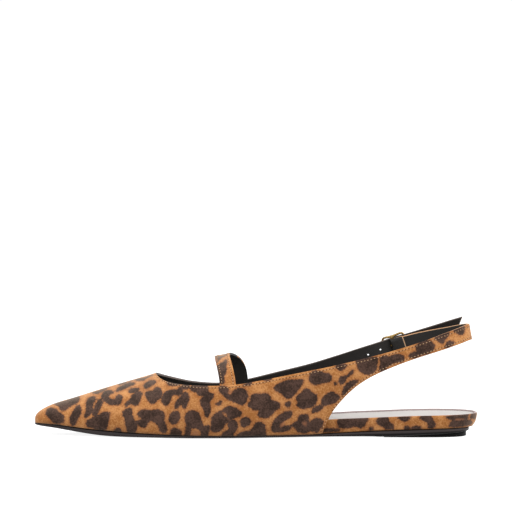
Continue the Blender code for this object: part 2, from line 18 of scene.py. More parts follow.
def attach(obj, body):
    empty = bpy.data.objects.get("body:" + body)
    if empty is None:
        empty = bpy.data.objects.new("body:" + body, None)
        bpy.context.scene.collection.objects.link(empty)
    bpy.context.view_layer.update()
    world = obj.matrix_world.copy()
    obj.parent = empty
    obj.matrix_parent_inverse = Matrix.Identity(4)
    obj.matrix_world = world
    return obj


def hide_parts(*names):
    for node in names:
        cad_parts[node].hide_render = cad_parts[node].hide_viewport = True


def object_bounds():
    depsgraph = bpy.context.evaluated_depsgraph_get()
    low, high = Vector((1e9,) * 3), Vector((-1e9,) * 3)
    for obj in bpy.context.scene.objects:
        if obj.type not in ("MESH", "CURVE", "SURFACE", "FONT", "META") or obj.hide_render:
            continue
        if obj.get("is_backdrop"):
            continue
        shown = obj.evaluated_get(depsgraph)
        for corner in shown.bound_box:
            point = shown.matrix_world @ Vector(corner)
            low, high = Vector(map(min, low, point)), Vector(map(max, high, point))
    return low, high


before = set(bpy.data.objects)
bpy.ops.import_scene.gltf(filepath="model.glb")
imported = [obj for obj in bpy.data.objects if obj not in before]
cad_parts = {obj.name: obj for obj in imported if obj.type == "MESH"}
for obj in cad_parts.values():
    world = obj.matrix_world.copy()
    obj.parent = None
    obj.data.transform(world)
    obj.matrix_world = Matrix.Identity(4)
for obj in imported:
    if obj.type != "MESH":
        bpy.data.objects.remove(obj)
CAD_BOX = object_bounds()
MM = 0.001
print("solids:", sorted(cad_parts))

# %% [markdown]
# ## Camera
# The photo looks straight at the inner side of the shoe, from a little above the sole and from far away.
# The length of the shoe in pixels gives the scale, and the heel seat's near and far edges give the height
# of the eye. The shoe sits low in the frame, so the camera tips up a little. A lens shift would do the
# same, but it would stay on in every other view.

# %% Camera at the photo's angle
PHOTO_PX = 512
METRES_PER_PX = 0.275 / 442
DISTANCE = 2.5
EYE_ANGLE = math.radians(4.5)
FLOOR_ROW = 437.4
AIM_ROW = 385
NEAR_EDGE = 31 * MM
FOCAL_PX = DISTANCE / METRES_PER_PX

aim_height = (FLOOR_ROW - AIM_ROW) * METRES_PER_PX - NEAR_EDGE * math.sin(EYE_ANGLE)
aim_height = aim_height / math.cos(EYE_ANGLE)
tip_up = math.atan((AIM_ROW - PHOTO_PX / 2) / FOCAL_PX)
eye = Vector((0, -DISTANCE * math.cos(EYE_ANGLE), aim_height + DISTANCE * math.sin(EYE_ANGLE)))
tilt = math.radians(90) - EYE_ANGLE + tip_up

lens = bpy.data.cameras.new("photo_camera")
lens.sensor_width = 36
lens.lens = 36 * FOCAL_PX / PHOTO_PX
camera = bpy.data.objects.new("photo_camera", lens)
camera.location = eye
camera.rotation_euler = (tilt, 0, 0)
bpy.context.scene.collection.objects.link(camera)
bpy.context.scene.camera = camera
print(f"lens {lens.lens:.0f} mm, eye {eye.z * 1000:.0f} mm over the floor")

# %% Where a point lands in the photo
def photo_pixels(points):
    """Turns an array of points in metres into columns and rows of the photo."""
    offset = np.asarray(points) - np.array(eye)
    ahead = offset[:, 1] * math.sin(tilt) - offset[:, 2] * math.cos(tilt)
    rise = offset[:, 1] * math.cos(tilt) + offset[:, 2] * math.sin(tilt)
    column = PHOTO_PX / 2 + FOCAL_PX * offset[:, 0] / ahead
    row = PHOTO_PX / 2 - FOCAL_PX * rise / ahead
    return np.stack((column, row), axis=1)


corners = photo_pixels([CAD_BOX[0], CAD_BOX[1]])
print("the box spans columns", corners[:, 0].round(1), "and rows", corners[:, 1].round(1))

# %% [markdown]
# ## Colour and nodes
# Colours are written as the hex codes a picture editor shows. Shaders work with linear light, so one
# function turns the codes round. A second small function adds a shader node, and its inputs are either
# numbers or the outputs of other nodes. No real surface has one flat tone, so a last one melts two colours
# into each other.

# %% Helpers for materials
def colour(code):
    """Turns an sRGB hex code into the linear colour that a shader wants."""
    levels = [int(code[i:i + 2], 16) / 255 for i in (1, 3, 5)]
    linear = [v / 12.92 if v <= 0.04045 else ((v + 0.055) / 1.055) ** 2.4 for v in levels]
    return (*linear, 1.0)


def add_node(tree, kind, inputs=None, **settings):
    """Adds one node to a tree, with its settings, its numbers and its links."""
    node = tree.nodes.new(kind)
    for name, value in settings.items():
        setattr(node, name, value)
    for key, value in (inputs or {}).items():
        if isinstance(value, bpy.types.NodeSocket):
            tree.links.new(value, node.inputs[key])
        else:
            node.inputs[key].default_value = value
    return node


def new_material(name, **shader_values):
    """Starts a material and sets its shader's plain numbers, with _ for each space in a socket's name."""
    material = bpy.data.materials.new(name)
    material.use_nodes = True
    shader = material.node_tree.nodes["Principled BSDF"]
    for key, value in shader_values.items():
        shader.inputs[key.replace("_", " ")].default_value = value
    return material, material.node_tree, shader


def per_mm(size):
    """The scale of a pattern whose marks are this many millimetres apart."""
    return 1 / (size * MM)


def mottled(tree, low, high, mark_mm, detail):
    """Melts two colours together in marks of a size in millimetres; gives place, noise and colour."""
    where = add_node(tree, "ShaderNodeTexCoord").outputs["Object"]
    noise = add_node(tree, "ShaderNodeTexNoise", {"Vector": where, "Scale": per_mm(mark_mm),
                     "Detail": detail}).outputs["Fac"]
    shade = add_node(tree, "ShaderNodeMix", {"Factor": noise, 6: colour(low), 7: colour(high)},
                     data_type="RGBA").outputs[2]
    return where, noise, shade


# %% [markdown]
# ## Studio
# The shoe was photographed on white with light from all round. Its straps are lighter than its sole, so
# more of the light came from above. A white world does nearly all of that: it is brightest overhead and
# dims below the horizon. The floor is opal acrylic that glows, so it looks white and takes nearly all of
# the shadow away. It is kept out of the light that the shoe receives, or its glow would wash out the lower
# edges.

# %% White floor
FLOOR_RADIUS = 9.0  # metres
FLOOR_DROP = 0.1 * MM  # so that floor and sole don't share a plane

floor_mesh = bpy.data.meshes.new("studio_floor")
sheet = bmesh.new()
bmesh.ops.create_circle(sheet, cap_ends=True, segments=64, radius=FLOOR_RADIUS)
sheet.to_mesh(floor_mesh)
sheet.free()
floor = bpy.data.objects.new("studio_floor", floor_mesh)
floor_mesh.transform(Matrix.Translation((0, 0, CAD_BOX[0][2] - FLOOR_DROP)))
bpy.context.scene.collection.objects.link(floor)

# Frosted acrylic: no shine, lit from below, and a faint cloud so that it isn't one flat tone.
acrylic, tree, shader = new_material("white_acrylic_frosted", Roughness=0.95, Specular_IOR_Level=0.1,
                                     Emission_Color=(1, 1, 1, 1), Emission_Strength=0.88)
shade = mottled(tree, "#949494", "#A0A0A0", 6.0, 4.0)[2]
tree.links.new(shade, shader.inputs["Base Color"])
floor_mesh.materials.append(acrylic)
floor.visible_diffuse = False
floor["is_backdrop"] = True

# %% World and lamps
world = bpy.data.worlds.new("white_studio")
world.use_nodes = True
tree = world.node_tree
toward = add_node(tree, "ShaderNodeTexCoord").outputs["Generated"]
height = add_node(tree, "ShaderNodeSeparateXYZ", {"Vector": toward}).outputs["Z"]
below = add_node(tree, "ShaderNodeMapRange", {"Value": height, "From Min": -0.7, "From Max": -0.06,
                 "To Min": 0.35, "To Max": 1.02}).outputs[0]
above = add_node(tree, "ShaderNodeMapRange", {"Value": height, "From Min": 0.0, "From Max": 1.0,
                 "To Min": 0.0, "To Max": 0.4}).outputs[0]
strength = add_node(tree, "ShaderNodeMath", {0: below, 1: above}, operation="ADD").outputs[0]
tree.nodes["Background"].inputs["Color"].default_value = (1, 1, 1, 1)
tree.links.new(strength, tree.nodes["Background"].inputs["Strength"])
bpy.context.scene.world = world
bpy.context.scene.view_settings.view_transform = "Standard"
SHOE_MIDDLE = Vector((0, 0, 30 * MM))
LAMPS = (
    # name, place in metres, size in metres, watts
    ("top_softbox", (-0.25, -0.25, 1.5), 1.2, 4.5),
    ("heel_softbox", (1.3, -0.4, 0.9), 0.8, 13.0),
    ("toe_softbox", (-1.3, -0.5, 0.7), 0.8, 5.0),
)
for name, place, size, watts in LAMPS:
    lamp = bpy.data.lights.new(name, "AREA")
    lamp.size = size
    lamp.energy = watts
    holder = bpy.data.objects.new(name, lamp)
    holder.location = place
    holder.rotation_euler = (SHOE_MIDDLE - Vector(place)).to_track_quat("-Z", "Y").to_euler()
    bpy.context.scene.collection.objects.link(holder)
print("studio:", len(LAMPS), "lamps over a white floor")

# %% [markdown]
# ## Printed suede
# Suede is the inner side of a hide, buffed until it has a short nap. It scatters light, so it has no gloss
# but a pale sheen at the rim. Here a brown spot is printed on tan, and the ink frays along the fibres. The
# print is stored on the mesh as a depth in millimetres: how far a point lies inside the edge of a spot. The
# shader adds a little noise to that depth before it cuts the edge, so edges are fuzzy and never stepped.

# %% Suede with a printed spot
BLEED, HEART = "#8A5231", "#8F5C3F"
INK_EDGES = (
    # depth that is read, depths in millimetres where the ink starts and where it is full, greatest share
    ("print_depth", -1.7, 0.2, 0.52),  # the bleed round a spot
    ("print_depth", -0.5, 0.55, 1.0),  # the spot
    ("heart_depth", -0.7, 0.9, 0.7),  # the rust heart
)


def printed_suede(name, tan_low, tan_high, brown_low, brown_high):
    """Suede that reads print_depth for its brown spots and heart_depth for rust hearts from its mesh."""
    material, tree, shader = new_material(
        name, Roughness=0.92, Specular_IOR_Level=0.18, Sheen_Weight=0.45, Sheen_Roughness=0.45,
        Sheen_Tint=colour("#EBD5BE"))
    where = add_node(tree, "ShaderNodeTexCoord").outputs["Object"]
    # The nap's fibres are about 0.1 mm apart; they are drawn at 1 mm so that they show in the render.
    nap = add_node(tree, "ShaderNodeTexNoise", {"Vector": where, "Scale": per_mm(1.0), "Detail": 5.0,
                   "Roughness": 0.7}).outputs["Fac"]
    # Strokes of the brush leave paler and darker patches about 7 mm wide.
    strokes = add_node(tree, "ShaderNodeTexNoise", {"Vector": where, "Scale": per_mm(7.0), "Detail": 2.0
                       }).outputs["Fac"]
    fray = add_node(tree, "ShaderNodeTexNoise", {"Vector": where, "Scale": per_mm(1.3), "Detail": 3.0,
                    "Roughness": 0.7}).outputs["Fac"]
    both = add_node(tree, "ShaderNodeMix", {"Factor": 0.36, 2: nap, 3: strokes},
                    data_type="FLOAT").outputs[0]
    tone = add_node(tree, "ShaderNodeMapRange", {"Value": both, "From Min": 0.43,
                    "From Max": 0.57}).outputs[0]
    tan = add_node(tree, "ShaderNodeMix", {"Factor": tone, 6: colour(tan_low), 7: colour(tan_high)},
                   data_type="RGBA").outputs[2]
    brown = add_node(tree, "ShaderNodeMix", {"Factor": tone, 6: colour(brown_low), 7: colour(brown_high)},
                     data_type="RGBA").outputs[2]
    shift = add_node(tree, "ShaderNodeMapRange", {"Value": fray, "From Min": 0.25, "From Max": 0.75,
                     "To Min": -0.6, "To Max": 0.6}).outputs[0]
    shade = tan
    for (key, none, full, most), tint in zip(INK_EDGES, (colour(BLEED), brown, colour(HEART))):
        depth = add_node(tree, "ShaderNodeAttribute", attribute_name=key).outputs["Fac"]
        frayed = add_node(tree, "ShaderNodeMath", {0: depth, 1: shift}, operation="ADD").outputs[0]
        ink = add_node(tree, "ShaderNodeMapRange", {"Value": frayed, "From Min": none, "From Max": full,
                       "To Max": most}, interpolation_type="SMOOTHSTEP").outputs[0]
        shade = add_node(tree, "ShaderNodeMix", {"Factor": ink, 6: shade, 7: tint},
                         data_type="RGBA").outputs[2]
    tree.links.new(shade, shader.inputs["Base Color"])
    relief = add_node(tree, "ShaderNodeBump", {"Height": nap, "Strength": 0.35, "Distance": 0.25 * MM})
    tree.links.new(relief.outputs["Normal"], shader.inputs["Normal"])
    return material


SUEDE = printed_suede("tan_suede_buffed_and_printed", "#935C2B", "#BA824E", "#2A1B14", "#4E382F")
print("suede nodes:", len(SUEDE.node_tree.nodes))

# %% [markdown]
# ## Lining, sock, rubber, brass and thread
# The lining is smooth black leather with a fine printed grain. The strap's cut edge is dyed dark brown to
# go with it, and the sling's is left raw. The sock under the heel is pale and polished, so at the photo's
# low angle it mirrors the white studio, and its skived edge is duller. The sole is black rubber from a
# mould with fine ribs below; its satin edge is painted paler grey as a painted sheen, and the edge's lower
# half and the lift are painted darker as painted shade. The buckle is cast brass, tumbled to a soft wear;
# its colour is painted darker and mottled as painted dark reflections.

# %% Smooth leathers
EDGE_REACH = 4.0  # millimetres from an edge over which the mesh knows how near it is
EDGE_LINE, EDGE_SOFTNESS = 0.2, 0.1


def smooth_leather(name, low, high, grain_mm, roughness, coat, gloss=0.5, bared=()):
    """Leather with a pebble grain, soft changes of tone, a coat, and lines that its mesh lays bare."""
    material, tree, shader = new_material(name, Roughness=roughness, Coat_Weight=coat, Coat_Roughness=0.25,
                                          Specular_IOR_Level=gloss)
    where, noise, shade = mottled(tree, low, high, 9.0, 3.0)
    grain = add_node(tree, "ShaderNodeTexVoronoi", {"Vector": where, "Scale": per_mm(grain_mm)},
                     feature="SMOOTH_F1").outputs["Distance"]
    line_from = EDGE_REACH - EDGE_LINE
    for key, bare in bared:
        near = add_node(tree, "ShaderNodeAttribute", attribute_name=key).outputs["Fac"]
        line = add_node(tree, "ShaderNodeMapRange", {"Value": near, "From Min": line_from - EDGE_SOFTNESS,
                        "From Max": line_from + EDGE_SOFTNESS}).outputs[0]
        shade = add_node(tree, "ShaderNodeMix", {"Factor": line, 6: shade, 7: colour(bare)},
                         data_type="RGBA").outputs[2]
    tree.links.new(shade, shader.inputs["Base Color"])
    relief = add_node(tree, "ShaderNodeBump", {"Height": grain, "Strength": 0.12, "Distance": 0.1 * MM})
    tree.links.new(relief.outputs["Normal"], shader.inputs["Normal"])
    return material


LINING = smooth_leather("black_lining_leather_smooth", "#151312", "#211E1B", 0.8, 0.5, 0.0, 0.25,
                        (("dyed_edge", "#5C4E45"), ("raw_edge", "#B59676")))
CUT_EDGE = smooth_leather("suede_cut_edge_dyed_brown", "#3A302C", "#5C4E47", 0.8, 0.7, 0.0)
SOCK = smooth_leather("pale_sock_leather_polished", "#9F9893", "#AFA8A2", 0.9, 0.42, 0.1)
SOCK_EDGE = smooth_leather("pale_sock_leather_skived", "#A2918F", "#B2A19F", 0.9, 0.6, 0.0)
print("leathers:", *(leather.name for leather in (LINING, CUT_EDGE, SOCK, SOCK_EDGE)))

# %% Moulded rubber
# Painted shade: the lower half of the sole's edge is coloured this near-black.
PAINTED_SHADE_BLACK = colour("#0A0809")
SHADE_START, SHADE_END = 0.44, 0.56  # shares of the edge's height, from its top
GRIT_RELIEF, RIB_RELIEF = 0.2, 0.8
WAVE_TURN = 20  # radians that a wave of scale 1 turns in one metre


def moulded_rubber(name, low, high, roughness, gloss, rib_mm):
    """Black rubber, painted blacker as shade low on its edge; a spacing of zero leaves the ribs out."""
    material, tree, shader = new_material(name, Roughness=roughness, Specular_IOR_Level=gloss)
    where, grit, shade = mottled(tree, low, high, 0.8, 4.0)
    depth = add_node(tree, "ShaderNodeAttribute", attribute_name="edge_depth").outputs["Fac"]
    painted_shade = add_node(tree, "ShaderNodeMapRange", {"Value": depth, "From Min": SHADE_START,
                     "From Max": SHADE_END}).outputs[0]
    shade = add_node(tree, "ShaderNodeMix", {"Factor": painted_shade, 6: shade, 7: PAINTED_SHADE_BLACK},
                     data_type="RGBA").outputs[2]
    tree.links.new(shade, shader.inputs["Base Color"])
    height, strength = grit, GRIT_RELIEF
    if rib_mm:
        turns = per_mm(rib_mm) * math.tau
        height = add_node(tree, "ShaderNodeTexWave", {"Vector": where, "Scale": turns / WAVE_TURN},
                          wave_type="BANDS", bands_direction="X").outputs["Fac"]
        strength = RIB_RELIEF
    relief = add_node(tree, "ShaderNodeBump", {"Height": height, "Strength": strength,
                      "Distance": 0.3 * MM})
    tree.links.new(relief.outputs["Normal"], shader.inputs["Normal"])
    return material


# Painted light: the edge is a paler grey as a painted sheen, and the lift is near black as painted shade.
SOLE_EDGE = moulded_rubber("black_rubber_edge_satin_painted_sheen", "#2C2727", "#383232", 0.45, 0.1, 0)
SOLE_TREAD = moulded_rubber("black_rubber_tread_ribbed", "#0A0809", "#110F10", 0.6, 0.2, 2.5)
LIFT = moulded_rubber("black_rubber_lift_matt_painted_shade", "#080809", "#101011", 0.55, 0.06, 0)
print("rubbers:", SOLE_EDGE.name, SOLE_TREAD.name, LIFT.name)

# %% Brass, thread and needle holes
# Painted reflection and wear: the brass colour is painted darker, mottled dark and pale for dark
# reflections; the same noise sets its worn roughness.
BRASS, tree, shader = new_material("brass_cast_and_tumbled_painted_reflections", Metallic=1.0, Roughness=0.24)
where, wear_and_dark_reflection, shade = mottled(tree, "#6C5435", "#B2965F", 1.2, 4.0)
tree.links.new(shade, shader.inputs["Base Color"])
dull = add_node(tree, "ShaderNodeMapRange", {"Value": wear_and_dark_reflection, "To Min": 0.18, "To Max": 0.36}).outputs[0]
tree.links.new(dull, shader.inputs["Roughness"])

THREAD, tree, shader = new_material("tan_polyester_thread_twisted", Roughness=0.6, Sheen_Weight=0.2)
shade = mottled(tree, "#A0764C", "#C5A177", 0.5, 2.0)[2]
tree.links.new(shade, shader.inputs["Base Color"])

# Painted shade: each needle hole is a flat dark disc on the suede, coloured as the shade in a hole.
PAINTED_HOLE_SHADE, tree, shader = new_material("needle_hole_painted_shade", Roughness=0.95, Specular_IOR_Level=0.1)
shade = mottled(tree, "#3A241A", "#5E4030", 0.6, 2.0)[2]
tree.links.new(shade, shader.inputs["Base Color"])
print("metal and thread:", BRASS.name, THREAD.name, PAINTED_HOLE_SHADE.name)

# %% [markdown]
# ## From solid to skin
# A solid's mesh is a coarse set of facets. A copy is welded, its triangles are paired into quads, and the
# sharp rims are creased. Subdivision then rounds the faces and keeps the rims. The copy is what the camera
# sees; the solid stays for collision.

# %% Smooth copies of the solids
SHARP = math.radians(38)
SHADED_SHARP = math.radians(50)
WELD, SLIVER = 0.004 * MM, 0.001 * MM


def welded(node, sharpness=1.0):
    """A bmesh of a solid's mesh with its loose triangles joined and its rims creased."""
    bm = bmesh.new()
    bm.from_mesh(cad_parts[node].data)
    bmesh.ops.remove_doubles(bm, verts=bm.verts, dist=WELD)
    bmesh.ops.dissolve_degenerate(bm, edges=bm.edges, dist=SLIVER)
    bmesh.ops.join_triangles(bm, faces=bm.faces, angle_face_threshold=math.radians(15),
                             angle_shape_threshold=math.radians(70))
    crease = bm.edges.layers.float.new("crease_edge")
    for edge in bm.edges:
        if edge.calc_face_angle(0.0) > SHARP:
            edge[crease] = sharpness
    bm.faces.ensure_lookup_table()
    bm.normal_update()
    return bm


def smooth_piece(bm, name, levels, materials):
    """Turns a bmesh into an object, rounds it by subdivision and puts the result in the mesh."""
    mesh = bpy.data.meshes.new(name)
    bm.to_mesh(mesh)
    piece = bpy.data.objects.new(name, mesh)
    bpy.context.scene.collection.objects.link(piece)
    for material in materials:
        mesh.materials.append(material)
    rounding = piece.modifiers.new("rounding", "SUBSURF")
    rounding.levels = levels
    rounding.render_levels = levels
    bpy.context.view_layer.update()
    done = bpy.data.meshes.new_from_object(piece.evaluated_get(bpy.context.evaluated_depsgraph_get()))
    piece.modifiers.clear()
    piece.data = done
    done.name = name
    done.shade_smooth()
    done.set_sharp_from_angle(angle=SHADED_SHARP)
    triangles = sum(len(face.vertices) - 2 for face in done.polygons)
    print(f"{name}: {triangles} triangles")
    return piece


def surface_of(piece):
    """A search tree over a finished piece."""
    corners = [vertex.co for vertex in piece.data.vertices]
    return BVHTree.FromPolygons(corners, [polygon.vertices for polygon in piece.data.polygons])


# %% [markdown]
# ## The upper, outside and inside
# The wall of the upper is suede outside and lining inside. Which side a face is on follows from the foot: a
# normal that points away from the foot's centre line is outside. Round the heel the centre of the turn
# takes the place of the line, and at the toe the line stops short, so that the nose counts as outside too.

# %% Sort faces into outside, inside and rim
AXIS_Y = -2.4 * MM
HEEL_TURN_X = 98.5 * MM
TOE_TURN_X = -117.5 * MM
THROAT_X = -62.5 * MM
THROAT_FADE = 26.0 * MM
CORE_Z = 9.0 * MM
STRIP_LEAN, FACE_LEAN = 0.8, 0.35  # a face that leans out or in by less is a rim


def away_from_foot(point):
    """The direction from the middle of the foot to a point of the upper."""
    along = min(point.x - TOE_TURN_X, 0) + max(point.x - HEEL_TURN_X, 0)
    roofed = min(1.0, max(0.0, 1 - (point.x - THROAT_X) / THROAT_FADE))
    return Vector((along, point.y - AXIS_Y, (point.z - CORE_Z) * roofed)).normalized()


def is_strip(face):
    """Whether two sharp edges run along a face and never meet, as on the cut edge of a wall."""
    sharp = [set(edge.verts) for edge in face.edges if edge.calc_face_angle(0.0) > SHARP]
    return any(not one & other for one in sharp for other in sharp)


def side_of(face, away):
    """1 for a face on the outside, -1 on the inside, 0 for a rim."""
    lean = face.normal.dot(away(face.calc_center_median()))
    if abs(lean) < (STRIP_LEAN if is_strip(face) else FACE_LEAN):
        return 0
    return 1 if lean > 0 else -1


upper_mesh = welded("upper")
upper_sides = [side_of(face, away_from_foot) for face in upper_mesh.faces]
print("faces outside, inside, rim:", [upper_sides.count(side) for side in (1, -1, 0)])

# %% [markdown]
# On the outer quarter and its strap the cut edge is dyed dark brown. The sling keeps a raw tan edge, and so
# does the slanted end of the strap. The lining is trimmed a little short of the edge, so a line of the
# edge's own colour shows beside it. Strap and sling meet nowhere on the outer side, so the strap is what
# can be reached from the outer quarter without crossing the centre line.

# %% Colour the rims
QUARTER_REACH = 8 * MM  # the outer quarter's faces within this of the middle are where the search starts


def outer_strap(bm):
    """The indices of the faces of the outer quarter, its strap and the strap's free end."""
    reached = set()
    outer = [face for face in bm.faces if face.calc_center_median().y > AXIS_Y]
    waiting = [face for face in outer if abs(face.calc_center_median().x) < QUARTER_REACH]
    while waiting:
        face = waiting.pop()
        if face.index in reached:
            continue
        reached.add(face.index)
        for edge in face.edges:
            waiting += [f for f in edge.link_faces if f.calc_center_median().y > AXIS_Y]
    return reached


SUEDE_SLOT, LINING_SLOT, EDGE_SLOT = 0, 1, 2
BEHIND_BAR_X = 88.5 * MM
STRAP_END_X = 100 * MM
FACES_BACK, FACES_FORWARD = 0.6, -0.5
strap_faces = outer_strap(upper_mesh)
for face, side in zip(upper_mesh.faces, upper_sides):
    centre = face.calc_center_median()
    slanted_end = centre.x > STRAP_END_X and face.normal.x > FACES_BACK
    round_the_bar = face.index not in strap_faces and centre.y > 0 and centre.x < BEHIND_BAR_X
    dark_fold = round_the_bar and (side == 0 or face.normal.x < FACES_FORWARD)
    face.material_index = LINING_SLOT if side < 0 or dark_fold else SUEDE_SLOT
    if side == 0 and face.index in strap_faces and not slanted_end:
        face.material_index = EDGE_SLOT
upper = smooth_piece(upper_mesh, "suede_upper", 2, (SUEDE, LINING, CUT_EDGE))

# %% Trim the lining along the far edges
POINTS_UP = 0.6
HOLE_WIDTH = 3 * MM


def mark_edge(piece, key, rim, start):
    """Writes how near each vertex is to those upper edges of the outer side that have one material."""
    mesh = piece.data
    whole = surface_of(piece)
    edges = []
    for polygon in mesh.polygons:
        far = polygon.center.y > AXIS_Y and polygon.center.x > start
        upward = max(polygon.normal.z, polygon.normal.x) >= POINTS_UP
        if not far or not upward or polygon.material_index != rim:
            continue
        # From the rim of a punched hole a ray meets the hole's other wall, and such a rim is left out.
        outside = polygon.center + polygon.normal * 0.1 * MM
        if whole.ray_cast(outside, polygon.normal, HOLE_WIDTH)[0] is None:
            edges.append(polygon.vertices)
    tree = BVHTree.FromPolygons([vertex.co for vertex in mesh.vertices], edges)
    layer = mesh.attributes.new(key, "FLOAT", "POINT")
    for vertex, value in zip(mesh.vertices, layer.data):
        distance = tree.find_nearest(vertex.co, EDGE_REACH * MM)[3]
        value.value = 0.0 if distance is None else EDGE_REACH - distance / MM
    return len(edges)


print("faces of the outer strap:", len(strap_faces))
print("edge faces of the strap:", mark_edge(upper, "dyed_edge", EDGE_SLOT, THROAT_X))
print("edge faces of the sling:", mark_edge(upper, "raw_edge", SUEDE_SLOT, BEHIND_BAR_X))
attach(upper, "root")
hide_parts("upper")

# %% Band and footbed
INSTEP_Z = 20 * MM
DARK_RIM_Y = 1 * MM
TAN_RIM_LOW, TAN_RIM_HIGH = 40.5 * MM, 47 * MM
SEAT_TURN_X = 105 * MM


def away_from_instep(point):
    """The direction from the middle of the instep out to a point of the band."""
    return Vector((0, point.y - AXIS_Y, point.z - INSTEP_Z)).normalized()


band_mesh = welded("instep_band")
band_sides = [side_of(face, away_from_instep) for face in band_mesh.faces]
for face, side in zip(band_mesh.faces, band_sides):
    centre = face.calc_center_median()
    tan_rim = TAN_RIM_LOW < centre.z < TAN_RIM_HIGH
    dark_rim = side == 0 and centre.y > DARK_RIM_Y and not tan_rim
    face.material_index = LINING_SLOT if side < 0 or dark_rim else SUEDE_SLOT
band = smooth_piece(band_mesh, "suede_instep_band", 3, (SUEDE, LINING))


def away_from_seat(point):
    """The level direction from the middle of the heel seat out to a point."""
    return Vector((max(0, point.x - SEAT_TURN_X), point.y - AXIS_Y, 0)).normalized()


footbed_mesh = welded("footbed")
for face in footbed_mesh.faces:
    inner_wall = side_of(face, away_from_seat) < 0
    face.material_index = 1 if inner_wall or face.normal.z > POINTS_UP else 0
footbed = smooth_piece(footbed_mesh, "suede_wrapped_footbed", 2, (SUEDE, SOCK_EDGE))
for piece, node in ((band, "instep_band"), (footbed, "footbed")):
    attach(piece, "root")
    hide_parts(node)
